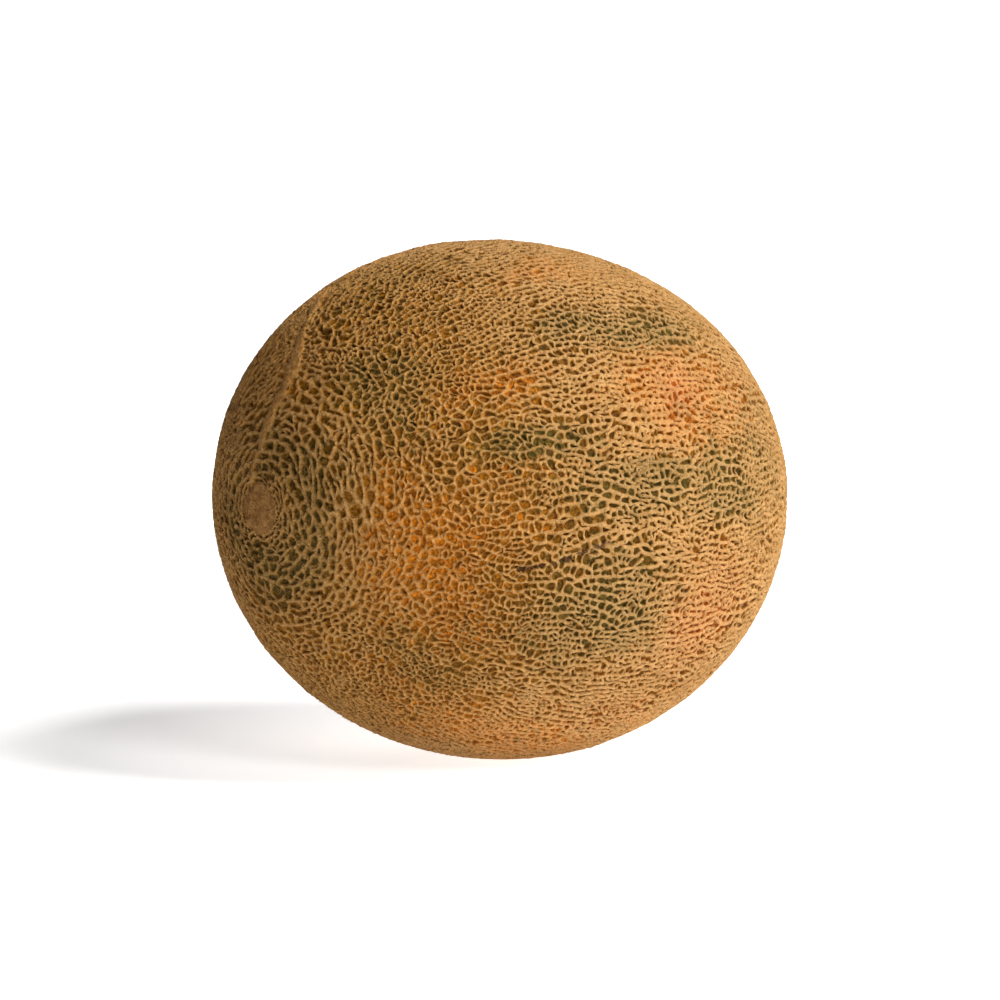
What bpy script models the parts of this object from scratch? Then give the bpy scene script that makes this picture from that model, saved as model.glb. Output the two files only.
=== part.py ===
"""Cantaloupe melon, lying on its side on the small flat spot that it ripened on.

X runs from the blossom scar (-X) to the stem scar (+X), and Z is up.  The fruit is one
closed body.  Its corky net is raised from the skin: the skin is unrolled like a map, the
map is divided into cells, and every cell sinks below the cords that part it from its
neighbours.  The net is a little larger than life.
"""

import math

import bmesh
import bpy
import numpy as np
from mathutils import Vector
from mathutils.geometry import delaunay_2d_cdt

# Driving dimensions, in metres; length and girth are over the crests of the net.
LENGTH = 0.173
GIRTH = 0.1453
NET_HEIGHT = 0.0020
FLAT_SPOT_CUT = 0.0010
FLAT_SPOT_RADIUS = 0.012
FLAT_SPOT_EDGE = 0.010
BLOSSOM_SCAR_RADIUS = 0.0078
STEM_SCAR_RADIUS = 0.0095
SCAR_DISH = 0.0009

# Scars, from the rim to the middle: share of the rim's radius, and depth in dishes.
SCAR_PROFILE = ((0.86, 0.9), (0.55, 0.7), (0.2, 1.0), (0.0, 1.3))

# Form: how far the top leans toward the blossom end, and the low swellings and hollows
# as (degrees from the blossom scar, degrees around from the top, share of the radius).
LEAN = -0.028
SWELL_SPREAD = 0.5
SWELLS = (
    (131, 52, 0.012),
    (99, 5, -0.023),
    (67, -28, 0.003),
    (44, -90, -0.011),
    (52, -136, 0.007),
    (74, -168, 0.009),
    (109, 156, 0.010),
)

# Net: number of cells, and the share of a cell that the slope of its cords takes.
NET_CELLS = 730
CORD_SHARE = 0.27
RIM_CELLS = 14
RIM_CELL_DEPTH = 0.7
CELL_LENGTH_TO_WIDTH_AT_ENDS = 0.75
CELL_LENGTH_TO_WIDTH_AT_MIDDLE = 1.5
SEED = 11
SEED_JITTER = 0.05
RELAX_ROUNDS = 10
STRAIGHTEN_ROUNDS = 2
STRAIGHTEN_PULL = 0.35

GOLDEN_TURN = math.pi * (3 - math.sqrt(5))
FULL_TURN = 2 * math.pi
MAP_MARGIN = 1.2
MAP_STEPS = 1000000
SAME_LEVEL = 1e-6
POLAR_STEPS = 2000

NET_COLOUR = (0.47, 0.27, 0.105, 1)
SKIN_COLOUR = (0.17, 0.12, 0.03, 1)
SMOOTH_BELOW_ANGLE = math.radians(75)


def clear_scene():
    """Remove whatever the scene holds."""
    for scene_object in list(bpy.data.objects):
        bpy.data.objects.remove(scene_object, do_unlink=True)


def direction(polar, around):
    """Unit vectors from the angle off the blossom end and the angle around from the top."""
    return np.stack(
        [-np.cos(polar), -np.sin(polar) * np.sin(around), np.sin(polar) * np.cos(around)],
        axis=-1,
    )


def crest_radius(directions):
    """Distance from the melon's middle to the top of its net, before the flat spot."""
    along = directions[:, 0] / (LENGTH / 2)
    across = np.hypot(directions[:, 1], directions[:, 2]) / (GIRTH / 2)
    swelling = 1 + LEAN * directions[:, 0] * directions[:, 2]
    for polar, around, amount in SWELLS:
        toward = direction(math.radians(polar), math.radians(around))
        swelling += amount * np.exp((directions @ toward - 1) / SWELL_SPREAD ** 2)
    return swelling / np.hypot(along, across)


def surface_points(directions, height):
    """Points at a height over the crests (below them when negative), cut by the flat spot."""
    bottom = crest_radius(np.array([[0.0, 0.0, -1.0]]))[0]
    ground = bottom - FLAT_SPOT_CUT
    radius = crest_radius(directions) + height
    down = np.maximum(-directions[:, 2], 1e-6)
    radius = np.minimum(radius, ground / down)
    return directions * radius[:, None]


def net_depth(directions):
    """How far the cell floors lie below the cords: nothing on the flat spot, where they fade."""
    off_spot = np.arccos(np.clip(-directions[:, 2], -1, 1)) * GIRTH / 2
    return NET_HEIGHT * np.clip((off_spot - FLAT_SPOT_RADIUS) / FLAT_SPOT_EDGE, 0, 1)


class SkinMap:
    """The skin unrolled: across is the angle around, up is stretched to keep cells regular.

    Near the scars the cells lie along the rings, and around the middle they lie along the
    fruit, so the map's upward scale follows the wanted length to width of a cell.
    """

    def __init__(self):
        self.polar = np.linspace(0.01, math.pi - 0.01, POLAR_STEPS)
        middle = np.sin(self.polar) ** 2
        longer = CELL_LENGTH_TO_WIDTH_AT_MIDDLE - CELL_LENGTH_TO_WIDTH_AT_ENDS
        length_to_width = CELL_LENGTH_TO_WIDTH_AT_ENDS + longer * middle
        slope = 1 / (length_to_width * np.sin(self.polar))
        steps = np.diff(self.polar) * (slope[1:] + slope[:-1]) / 2
        self.up = np.concatenate([[0.0], np.cumsum(steps)])

    def from_polar(self, polar):
        return np.interp(polar, self.polar, self.up)

    def to_polar(self, up):
        return np.interp(up, self.up, self.polar)


def scar_polar(radius):
    """Angle off the long axis of a scar's rim."""
    return math.atan2(radius, LENGTH / 2)


def make_seeds(skin_map):
    """One point for each cell of the net, and how many of them may not move.

    Two rings of points, just inside and just outside each scar, make its rim a true circle.
    A point straight below keeps one whole cell in the flat spot.
    """
    blossom_rim = skin_map.from_polar(scar_polar(BLOSSOM_SCAR_RADIUS))
    stem_rim = skin_map.from_polar(math.pi - scar_polar(STEM_SCAR_RADIUS))
    ring = (np.arange(RIM_CELLS) + 0.5) * FULL_TURN / RIM_CELLS
    gap = RIM_CELL_DEPTH * FULL_TURN / RIM_CELLS / 2
    fixed = [(math.pi, skin_map.from_polar(math.pi / 2))]
    for level in (blossom_rim + gap, stem_rim - gap, blossom_rim - gap, stem_rim + gap):
        fixed += [(around, level) for around in ring]

    free_cells = NET_CELLS - 2 * RIM_CELLS - 1
    edge = skin_map.to_polar(blossom_rim + 2 * gap), skin_map.to_polar(stem_rim - 2 * gap)
    share = (np.arange(free_cells) + 0.5) / free_cells
    cosine = math.cos(edge[0]) + share * (math.cos(edge[1]) - math.cos(edge[0]))
    rng = np.random.default_rng(SEED)
    around = np.arange(free_cells) * GOLDEN_TURN + rng.normal(0, SEED_JITTER, free_cells)
    polar = np.clip(np.arccos(cosine) + rng.normal(0, SEED_JITTER, free_cells), *edge)
    free = np.column_stack([around % FULL_TURN, skin_map.from_polar(polar)])
    return np.vstack([fixed, free]), len(fixed)


def divide(seeds):
    """Divide the map into one cell for each seed.

    The corners of the cells are the middles of the circles through three neighbours.
    Returns the corners, and for each cell its corner numbers in order.
    """
    count = len(seeds)
    before = np.flatnonzero(seeds[:, 0] > FULL_TURN - MAP_MARGIN)
    after = np.flatnonzero(seeds[:, 0] < MAP_MARGIN)
    wrapped = np.vstack([seeds, seeds[before] - [FULL_TURN, 0], seeds[after] + [FULL_TURN, 0]])
    owner = np.concatenate([np.arange(count), before, after])
    found = delaunay_2d_cdt([Vector(point) for point in wrapped], [], [], 0, 1e-9)
    source = np.array([numbers[0] for numbers in found[3]])
    triangles = source[np.array(found[2])]

    first, second, third = (wrapped[triangles[:, corner]] for corner in range(3))
    side, other = second - first, third - first
    twice_area = 2 * (side[:, 0] * other[:, 1] - side[:, 1] * other[:, 0])
    side_square, other_square = (side ** 2).sum(1), (other ** 2).sum(1)
    centre = first + np.column_stack([
        (other[:, 1] * side_square - side[:, 1] * other_square) / twice_area,
        (side[:, 0] * other_square - other[:, 0] * side_square) / twice_area,
    ])
    key = np.round(centre * MAP_STEPS / FULL_TURN).astype(int) % [MAP_STEPS, 10 * MAP_STEPS]
    _, keep, number = np.unique(key, axis=0, return_index=True, return_inverse=True)
    number = number.ravel()
    corners = centre[keep] % [FULL_TURN, np.inf]

    cells = [[] for _ in range(count)]
    for triangle, members in enumerate(triangles):
        for seed in members[members < count]:
            offset = centre[triangle] - seeds[seed]
            cells[seed].append((math.atan2(offset[1], offset[0]), number[triangle]))
    return corners, [list(dict.fromkeys(corner for _, corner in sorted(cell))) for cell in cells]


def near(points, middle):
    """The same map points, wrapped to lie beside the middle."""
    offset = points - middle
    offset[:, 0] = (offset[:, 0] + math.pi) % FULL_TURN - math.pi
    return middle + offset


def relax(seeds, fixed):
    """Even the cells out: each free seed moves to the middle of its cell's corners."""
    for _ in range(RELAX_ROUNDS):
        corners, cells = divide(seeds)
        for seed in range(fixed, len(seeds)):
            seeds[seed] = near(corners[cells[seed]], seeds[seed]).mean(axis=0)
        seeds[:, 0] %= FULL_TURN
    return seeds


def straighten(corners, cells, rim_levels):
    """Draw the cords out into long lines, by pulling each corner between two neighbours."""
    neighbours = [set() for _ in corners]
    for cell in cells:
        for corner, following in zip(cell, cell[1:] + cell[:1]):
            neighbours[corner].add(following)
            neighbours[following].add(corner)
    movable = [
        number for number, corner in enumerate(corners)
        if len(neighbours[number]) == 3 and np.abs(rim_levels - corner[1]).min() > SAME_LEVEL
    ]
    for _ in range(STRAIGHTEN_ROUNDS):
        moved = corners.copy()
        for number in movable:
            around = near(corners[list(neighbours[number])], corners[number])
            offset = around - corners[number]
            unit = offset / np.linalg.norm(offset, axis=1)[:, None]
            pairs = ((0, 1), (1, 2), (2, 0))
            pair = min(pairs, key=lambda two: unit[two[0]] @ unit[two[1]])
            target = around[list(pair)].mean(axis=0)
            moved[number] += STRAIGHTEN_PULL * (target - corners[number])
        corners = moved
    return corners


def scar_rings(rim, outward):
    """Rings of points from a scar's rim to its middle: a groove, then a shallow dish."""
    axis = np.array([outward, 0.0, 0.0])
    rings = []
    for share, depth in SCAR_PROFILE:
        inward = axis + share * (rim / np.abs(rim[:, :1]) - axis)
        inward /= np.linalg.norm(inward, axis=1)[:, None]
        rings.append(surface_points(inward, -SCAR_DISH * depth))
    return rings


def build_mesh():
    """The whole skin as one closed mesh: slopes of the cords, cell floors and two scars."""
    skin_map = SkinMap()
    seeds, fixed = make_seeds(skin_map)
    seeds = relax(seeds, fixed)
    corners, cells = divide(seeds)
    rim_levels = np.array([
        skin_map.from_polar(scar_polar(BLOSSOM_SCAR_RADIUS)),
        skin_map.from_polar(math.pi - scar_polar(STEM_SCAR_RADIUS)),
    ])
    first_ghost = 1 + 2 * RIM_CELLS
    real = [cell for seed, cell in enumerate(cells) if not first_ghost <= seed < fixed]
    corners = straighten(corners, real, rim_levels)

    directions = direction(skin_map.to_polar(corners[:, 1]), corners[:, 0])
    crests = surface_points(directions, 0)

    bm = bmesh.new()
    crest_verts = {}

    def crest(number):
        if number not in crest_verts:
            crest_verts[number] = bm.verts.new(crests[number])
        return crest_verts[number]

    for cell in real:
        around = directions[cell]
        middle = around.mean(axis=0)
        inset = around + CORD_SHARE * (middle - around)
        inset /= np.linalg.norm(inset, axis=1)[:, None]
        floor = [bm.verts.new(point) for point in surface_points(inset, -net_depth(inset))]
        for index, number in enumerate(cell):
            following = (index + 1) % len(cell)
            slope = (crest(number), crest(cell[following]), floor[following], floor[index])
            bm.faces.new(slope).material_index = 0
        bm.faces.new(floor).material_index = 1

    for outward, level in zip((-1, 1), rim_levels):
        on_rim = [number for number in crest_verts if abs(corners[number][1] - level) < SAME_LEVEL]
        on_rim.sort(key=lambda number: corners[number][0])
        outer = [crest(number) for number in on_rim]
        for ring in scar_rings(directions[on_rim], outward):
            inner = [bm.verts.new(point) for point in ring]
            for index in range(len(outer)):
                after = (index + 1) % len(outer)
                bm.faces.new((outer[index], outer[after], inner[after], inner[index]))
            outer = inner
        bmesh.ops.pointmerge(bm, verts=outer, merge_co=outer[0].co)

    bmesh.ops.triangulate(bm, faces=bm.faces[:])
    bmesh.ops.recalc_face_normals(bm, faces=bm.faces[:])
    return bm


def stand_on_ground(mesh):
    """Put the middle of the box around the fruit over the origin, with its base at Z = 0."""
    points = np.empty(len(mesh.vertices) * 3)
    mesh.vertices.foreach_get("co", points)
    points = points.reshape(-1, 3)
    low, high = points.min(axis=0), points.max(axis=0)
    points -= [(low[0] + high[0]) / 2, (low[1] + high[1]) / 2, low[2]]
    mesh.vertices.foreach_set("co", points.ravel())
    mesh.update()


def material(name, colour, roughness):
    """A plain surface."""
    made = bpy.data.materials.new(name)
    made.use_nodes = True
    shader = made.node_tree.nodes["Principled BSDF"]
    shader.inputs["Base Color"].default_value = colour
    shader.inputs["Roughness"].default_value = roughness
    shader.inputs["Metallic"].default_value = 0
    return made


def make_melon():
    """The melon, with cork on its cords and scars and waxy skin on its cell floors."""
    bm = build_mesh()
    mesh = bpy.data.meshes.new("melon")
    bm.to_mesh(mesh)
    bm.free()
    stand_on_ground(mesh)
    mesh.materials.append(material("cork net", NET_COLOUR, 0.8))
    mesh.materials.append(material("waxy skin", SKIN_COLOUR, 0.5))
    mesh.shade_smooth()
    mesh.set_sharp_from_angle(angle=SMOOTH_BELOW_ANGLE)
    melon = bpy.data.objects.new("melon", mesh)
    bpy.context.scene.collection.objects.link(melon)
    return melon


clear_scene()
make_melon()
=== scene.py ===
# %% [markdown]
# # A cantaloupe melon, one cell of its net at a time
#
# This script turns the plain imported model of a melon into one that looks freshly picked.
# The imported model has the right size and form, but its net is coarse.  Here the same form
# gets a net of nearly nineteen thousand small cells, a waxy skin of orange, olive and dark
# green between the cords, a smooth corky scar at each end, and soft studio light.
#
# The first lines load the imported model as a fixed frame.  Every place and size below comes
# from it or from the melon's own driving dimensions.

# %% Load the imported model
import math

import bpy
import numpy as np
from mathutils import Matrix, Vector
from mathutils.geometry import delaunay_2d_cdt


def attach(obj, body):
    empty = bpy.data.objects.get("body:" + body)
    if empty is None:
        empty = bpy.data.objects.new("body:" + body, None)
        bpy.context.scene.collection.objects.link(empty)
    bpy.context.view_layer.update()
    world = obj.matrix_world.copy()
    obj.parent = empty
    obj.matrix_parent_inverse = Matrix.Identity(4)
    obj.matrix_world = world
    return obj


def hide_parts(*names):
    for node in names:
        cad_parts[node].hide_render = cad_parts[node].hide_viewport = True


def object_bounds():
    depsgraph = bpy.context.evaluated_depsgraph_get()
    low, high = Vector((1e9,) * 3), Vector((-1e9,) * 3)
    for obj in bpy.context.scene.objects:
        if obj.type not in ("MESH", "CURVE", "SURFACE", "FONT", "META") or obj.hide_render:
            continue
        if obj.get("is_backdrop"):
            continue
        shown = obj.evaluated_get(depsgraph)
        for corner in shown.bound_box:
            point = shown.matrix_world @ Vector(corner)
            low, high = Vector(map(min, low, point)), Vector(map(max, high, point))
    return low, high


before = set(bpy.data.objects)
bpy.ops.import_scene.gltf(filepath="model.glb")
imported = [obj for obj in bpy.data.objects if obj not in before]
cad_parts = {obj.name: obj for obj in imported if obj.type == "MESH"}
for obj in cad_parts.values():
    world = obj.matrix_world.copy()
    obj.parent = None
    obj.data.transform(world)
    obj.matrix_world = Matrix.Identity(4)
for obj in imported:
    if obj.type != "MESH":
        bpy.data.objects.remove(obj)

cad_low, cad_high = (np.array(corner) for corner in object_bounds())
print("CAD box in mm:", np.round((cad_high - cad_low) * 1000, 1))

# %% [markdown]
# ## The form
#
# A melon is close to an ellipsoid, a ball stretched along one axis.  Nobody would carve that
# by hand: a formula gives the distance from the middle to the surface in every direction.
# Real fruit isn't perfect, so the formula adds a slight lean and a few low swellings and
# hollows, each a soft bump around one direction.  The underside is cut by the ground.
#
# Directions are told by two angles, like places on a globe.  `polar` is the angle from the
# blossom scar, and `around` is the turn about the long axis, with 0 at the top.

# %% The form: one distance for every direction
LENGTH = 0.173
GIRTH = 0.1453
FLAT_SPOT_CUT = 0.0010
LEAN = -0.028
SWELL_SPREAD = 0.5  # radians
SWELLS = (  # degrees from the blossom scar, degrees around, share of the radius
    (131, 52, 0.012),
    (99, 5, -0.023),
    (67, -28, 0.003),
    (44, -90, -0.011),
    (52, -136, 0.007),
    (74, -168, 0.009),
    (109, 156, 0.010),
)
FULL_TURN = 2 * math.pi
MM = 0.001


def direction(polar, around):
    """Unit vectors from the two angles, in radians."""
    return np.stack(
        [-np.cos(polar), -np.sin(polar) * np.sin(around), np.sin(polar) * np.cos(around)],
        axis=-1,
    )


def crest_radius(directions):
    """Distance from the melon's middle to the crests of its net."""
    along = directions[:, 0] / (LENGTH / 2)
    across = np.hypot(directions[:, 1], directions[:, 2]) / (GIRTH / 2)
    swelling = 1 + LEAN * directions[:, 0] * directions[:, 2]
    for polar, around, amount in SWELLS:
        toward = direction(math.radians(polar), math.radians(around))
        swelling += amount * np.exp((directions @ toward - 1) / SWELL_SPREAD ** 2)
    return swelling / np.hypot(along, across)


GROUND = crest_radius(np.array([[0.0, 0.0, -1.0]]))[0] - FLAT_SPOT_CUT
print(f"The middle of the melon is {GROUND * 1000:.1f} mm above the ground.")

# %% [markdown]
# ## A wandering field
#
# Nothing on a fruit is even: cords grow thicker in one place and thinner in the next.  Many
# of the steps below need a number that wanders smoothly over the surface.  Adding a dozen
# or so waves that run in random directions gives just that.  Short waves give small
# patches.  All random numbers come from one generator with a fixed start, so that every
# run grows the same melon.

# %% A wandering field: smooth random numbers over the surface
WAVES = 14
USUAL_PEAK = 1.5  # how far the evened sum of the waves usually reaches

rng = np.random.default_rng(4711)


def wander(directions, patch_size):
    """Smooth random numbers, mostly from -1 to 1, that change over about patch_size metres."""
    wave_vectors = rng.normal(0, 1, (WAVES, 3)) * GIRTH / patch_size
    phases = rng.uniform(0, FULL_TURN, WAVES)
    total = np.zeros(len(directions))
    for wave_vector, phase in zip(wave_vectors, phases):
        total += np.sin(directions @ wave_vector + phase)
    return total / math.sqrt(WAVES / 2) / USUAL_PEAK


def smooth_step(value, start, end):
    """0 before start, 1 after end, and an even curve between."""
    share = np.clip((value - start) / (end - start), 0, 1)
    return share * share * (3 - 2 * share)


test_walk = direction(np.linspace(0, math.pi, 500), np.linspace(0, FULL_TURN, 500))
found_values = wander(test_walk, 20 * MM)
print(f"A test walk gave values from {found_values.min():.2f} to {found_values.max():.2f}.")

# %% [markdown]
# ## The skin, unrolled like a map
#
# The corky net forms when the skin underneath stretches and cracks, and cork fills the
# cracks.  The cells between the cords look like soap bubbles pressed together.  Such a
# pattern is easy on a flat sheet, so the skin is unrolled like a map of the world: across
# is `around`, and up follows `polar`.
#
# The cells are not equally long and wide everywhere.  Around the blossom scar they are
# wider than long and lie along its rings, and further on they are slightly longer than
# wide, because the fruit grew that way.  The map's upward scale holds this: where it is
# squeezed, cells come out long.

# %% The map: across is the turn, up is stretched by the wanted shape of a cell
CELL_SHAPES = (  # degrees from the blossom scar, length along the fruit to width
    (0, 0.8), (7, 0.7), (12, 0.62), (20, 0.70), (34, 1.0),
    (58, 1.08), (80, 1.10), (125, 1.08), (160, 0.9), (180, 0.6),
)
POLE_GAP = 0.004  # radians left out at each pole, where the map would be endlessly high
MAP_STEPS = 6000

polar_steps = np.linspace(POLE_GAP, math.pi - POLE_GAP, MAP_STEPS)
cell_shape = np.interp(np.degrees(polar_steps), *zip(*CELL_SHAPES))
climb = 1 / (cell_shape * np.sin(polar_steps))
map_up = np.concatenate([[0.0], np.cumsum(np.diff(polar_steps) * (climb[1:] + climb[:-1]) / 2)])


def to_up(polar):
    """How far up the map a polar angle lies."""
    return np.interp(polar, polar_steps, map_up)


def to_direction(map_places):
    """Unit vectors of places on the map."""
    return direction(np.interp(map_places[:, 1], map_up, polar_steps), map_places[:, 0])


print(f"The map is {FULL_TURN:.2f} wide and {map_up[-1]:.2f} high.")

# %% [markdown]
# ## Seeds for the cells
#
# Each cell starts as one point, its seed.  To spread seeds evenly over the skin, a share
# between 0 and 1 is drawn, and a table of how much skin lies before each polar angle turns
# it into an angle.  Around the blossom scar the cells are larger, so the skin counts for
# less there.  Real cells also come in clusters of large and of small ones.  So more seeds
# are tried than are needed, and a wandering field decides which of them may stay.
#
# A ring of guard seeds at each pole closes the pattern.  A few extra seeds go into the
# scars, so that their smooth discs are divided finely enough to be shaped.

# %% Scatter the seeds
CELLS = 18500
CROWDING = (  # degrees from the blossom scar, how closely the cells are packed
    (0, 0.8), (7, 0.75), (11, 0.50), (18, 0.50), (28, 0.76),
    (38, 1.08), (62, 1.05), (80, 0.88), (180, 0.88),
)
CLUSTER_SIZE = 7 * MM
CLUSTERING = 0.28
TRIES_PER_SEED = 3
MOST_WELCOME = 2  # a seed that is this welcome would surely stay
SKIN_SHARES = (0.0003, 0.9997)  # the whole skin but for the very poles
SCAR_EXTRA = 160
SCAR_EXTRA_POLAR = 0.068
SCAR_EXTRA_FROM = 0.03  # share of a disc's area that is left to the guards
GUARDS = 6
GUARD_POLAR = 0.010

ring_radius = crest_radius(direction(polar_steps, np.full_like(polar_steps, math.pi / 2)))
crowding = np.interp(np.degrees(polar_steps), *zip(*CROWDING))
skin_before = np.cumsum(crowding * ring_radius ** 2 * np.sin(polar_steps))
skin_before = (skin_before - skin_before[0]) / (skin_before[-1] - skin_before[0])

tries = TRIES_PER_SEED * CELLS
tried_polar = np.interp(rng.uniform(*SKIN_SHARES, tries), skin_before, polar_steps)
tried_around = rng.uniform(0, FULL_TURN, tries)
welcome = 1 + CLUSTERING * wander(direction(tried_polar, tried_around), CLUSTER_SIZE)
kept = np.flatnonzero(rng.uniform(0, MOST_WELCOME, tries) < welcome)[:CELLS]

scar_polar = np.sqrt(rng.uniform(SCAR_EXTRA_FROM, 1, SCAR_EXTRA)) * SCAR_EXTRA_POLAR
scar_polar[SCAR_EXTRA // 2:] = math.pi - scar_polar[SCAR_EXTRA // 2:]
guard_polar = np.repeat([GUARD_POLAR, math.pi - GUARD_POLAR], GUARDS)
seed_polar = np.concatenate([guard_polar, tried_polar[kept], scar_polar])
seed_around = np.concatenate([
    np.tile(np.arange(GUARDS) * FULL_TURN / GUARDS, 2),
    tried_around[kept],
    rng.uniform(0, FULL_TURN, SCAR_EXTRA),
])
seeds = np.column_stack([seed_around, to_up(seed_polar)])
print(len(seeds), "seeds")

# %% [markdown]
# ## From seeds to cells
#
# A cell is everything that is nearer to its seed than to any other.  Joining neighbouring
# seeds into triangles gives the cells for free: every corner where three cells meet is the
# middle of the circle through three seeds.  Blender has the triangle step built in, as
# `delaunay_2d_cdt`.  The map's left edge meets its right edge, so seeds near one edge are
# copied past the other.
#
# The result is a list of rings: for each cell, its corners in order around the seed.

# %% Divide the map into cells
MAP_MARGIN = 1.6
SAME_POINT = 1e-9


def divide(seeds):
    """Corners of the cells, and for each ring entry its cell and its corner number."""
    count = len(seeds)
    before = np.flatnonzero(seeds[:, 0] > FULL_TURN - MAP_MARGIN)
    after = np.flatnonzero(seeds[:, 0] < MAP_MARGIN)
    wrapped = np.vstack([seeds, seeds[before] - [FULL_TURN, 0], seeds[after] + [FULL_TURN, 0]])
    owner = np.concatenate([np.arange(count), before, after])
    found = delaunay_2d_cdt([Vector(seed) for seed in wrapped], [], [], 0, SAME_POINT)
    source = np.array([numbers[0] for numbers in found[3]])
    triangles = source[np.array(found[2])]

    first, second, third = (wrapped[triangles[:, corner]] for corner in range(3))
    side, other = second - first, third - first
    twice_area = 2 * (side[:, 0] * other[:, 1] - side[:, 1] * other[:, 0])
    side_square, other_square = (side ** 2).sum(1), (other ** 2).sum(1)
    centre = first + np.column_stack([
        (other[:, 1] * side_square - side[:, 1] * other_square) / twice_area,
        (side[:, 0] * other_square - other[:, 0] * side_square) / twice_area,
    ])
    key = np.sort(owner[triangles], axis=1)
    _, keep, number = np.unique(key, axis=0, return_index=True, return_inverse=True)
    corners = centre[keep]
    corners[:, 0] %= FULL_TURN

    triangle, which = np.nonzero(triangles < count)
    cell = triangles[triangle, which]
    offset = centre[triangle] - seeds[cell]
    order = np.lexsort((np.arctan2(offset[:, 1], offset[:, 0]), cell))
    return corners, cell[order], number.ravel()[triangle][order]


def beside(map_places, middle):
    """The way from middle to each place, the short way round the map."""
    offset = map_places - middle
    offset[..., 0] = (offset[..., 0] + math.pi) % FULL_TURN - math.pi
    return offset


corners, ring_cell, ring_corner = divide(seeds)
print(f"{len(corners)} corners; a cell has {len(ring_cell) / len(seeds):.2f} on average")

# %% [markdown]
# ## Evening the cells out
#
# Random seeds leave some cells cramped.  Moving every seed to the middle of its cell, and
# dividing again, evens them out.  Two rounds look grown.  Many rounds would give a neat
# honeycomb, which no melon has.

# %% Relax the seeds
RELAX_ROUNDS = 2
FIXED = 2 * GUARDS

for _ in range(RELAX_ROUNDS):
    offset = beside(corners[ring_corner], seeds[ring_cell])
    corner_count = np.bincount(ring_cell, minlength=len(seeds))[:, None]
    middle = np.zeros_like(seeds)
    np.add.at(middle, ring_cell, offset)
    seeds[FIXED:] += (middle / corner_count)[FIXED:]
    seeds[:, 0] %= FULL_TURN
    corners, ring_cell, ring_corner = divide(seeds)
print(f"smallest cell has {np.bincount(ring_cell).min()} corners")

# %% [markdown]
# ## Cords and where they meet
#
# A cord is the border between two cells, so it runs from one corner to the next in both of
# their rings.  Giving each pair of corners one key number finds the cord that two rings
# share.  A list of the three neighbours of every corner is made too, because the next step
# decides which of the cords that meet there run on into each other.

# %% List the cords, and the three neighbours of every corner
ring_start = np.flatnonzero(np.r_[True, ring_cell[1:] != ring_cell[:-1]])
ring_size = np.bincount(ring_cell, minlength=len(seeds))
following = np.arange(len(ring_cell)) + 1
following[ring_start + ring_size - 1] = ring_start
preceding = np.empty_like(following)
preceding[following] = np.arange(len(following))

next_corner = ring_corner[following]
lower_end, higher_end = np.minimum(ring_corner, next_corner), np.maximum(ring_corner, next_corner)
cord_key, ring_cord = np.unique(lower_end * len(corners) + higher_end, return_inverse=True)
ring_cord = ring_cord.ravel()
cords = np.column_stack([cord_key // len(corners), cord_key % len(corners)])

ends = cords.ravel()
other_ends = cords[:, ::-1].ravel()
end_cord = np.repeat(np.arange(len(cords)), 2)
by_corner = np.argsort(ends, kind="stable")
degree = np.bincount(ends, minlength=len(corners))
first_end = np.cumsum(degree) - degree
meeting = np.flatnonzero(degree == 3)
three_ends = by_corner[first_end[meeting][:, None] + np.arange(3)]
neighbours = other_ends[three_ends]
meeting_cords = end_cord[three_ends]
print(f"{len(cords)} cords meet at {len(meeting)} corners")

# %% [markdown]
# ## Cords in long lines
#
# In a plain soap-bubble pattern three equal cords meet at every corner.  A melon's net is
# different: some cords run on through many corners in long lines, and short cross-links
# lean against them.  So at every corner the two cords that lie most in line become one
# through cord, with a liking for the direction of growth: round the blossom scar close to
# it, and along the fruit further on.  The corner is pulled toward the line between its two
# neighbours there, and the third cord stays as a cross-link.

# %% Pull the corners into long lines
STRAIGHTEN_ROUNDS = 3
STRAIGHTEN_PULL = 0.40
GROWTH_LIKING = 0.28
GROWTH_TURNS = (18, 60)  # degrees from the blossom scar
GROWTH_NEAR, GROWTH_FAR = -0.5, 1.0  # below 0 is round the scar, above 0 is along the fruit
PAIRS = np.array([(0, 1), (1, 2), (2, 0)])
TINY = 1e-12

rows = np.arange(len(meeting))
for _ in range(STRAIGHTEN_ROUNDS):
    way = beside(corners[neighbours], corners[meeting][:, None, :])
    toward = way / np.maximum(np.linalg.norm(way, axis=2, keepdims=True), TINY)
    one, two = toward[:, PAIRS[:, 0]], toward[:, PAIRS[:, 1]]
    in_line = -(one * two).sum(2)
    line = one - two
    line /= np.maximum(np.linalg.norm(line, axis=2, keepdims=True), TINY)
    polar_degrees = np.degrees(np.interp(corners[meeting, 1], map_up, polar_steps))
    far = smooth_step(polar_degrees, *GROWTH_TURNS)
    along_fruit = GROWTH_NEAR + (GROWTH_FAR - GROWTH_NEAR) * far
    growth = along_fruit[:, None] * (line[..., 1] ** 2 - line[..., 0] ** 2)
    chosen = np.argmax(in_line + GROWTH_LIKING * growth, axis=1)
    middle = (way[rows, PAIRS[chosen, 0]] + way[rows, PAIRS[chosen, 1]]) / 2
    corners[meeting] += STRAIGHTEN_PULL * middle
corners[:, 0] %= FULL_TURN

through = np.zeros(len(cords))  # 1 where a cord runs through at both ends
for partner in (0, 1):
    np.add.at(through, meeting_cords[rows, PAIRS[chosen, partner]], 0.5)
print(f"{(through == 1).mean():.0%} of the cords run through at both ends")

# %% [markdown]
# ## Marks of growing
#
# Some places have no net, or look different: the smooth disc of the blossom scar, the dish
# of the stem scar, a corky band that wanders up from the blossom scar, a healed crack and
# the flat spot.  Each could be a mesh of its own, but a join would show.  So each is a
# region of the one skin, told by its distance from a point or from a line of points.  The
# lines are given in degrees, like a walking route on a globe.

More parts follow.
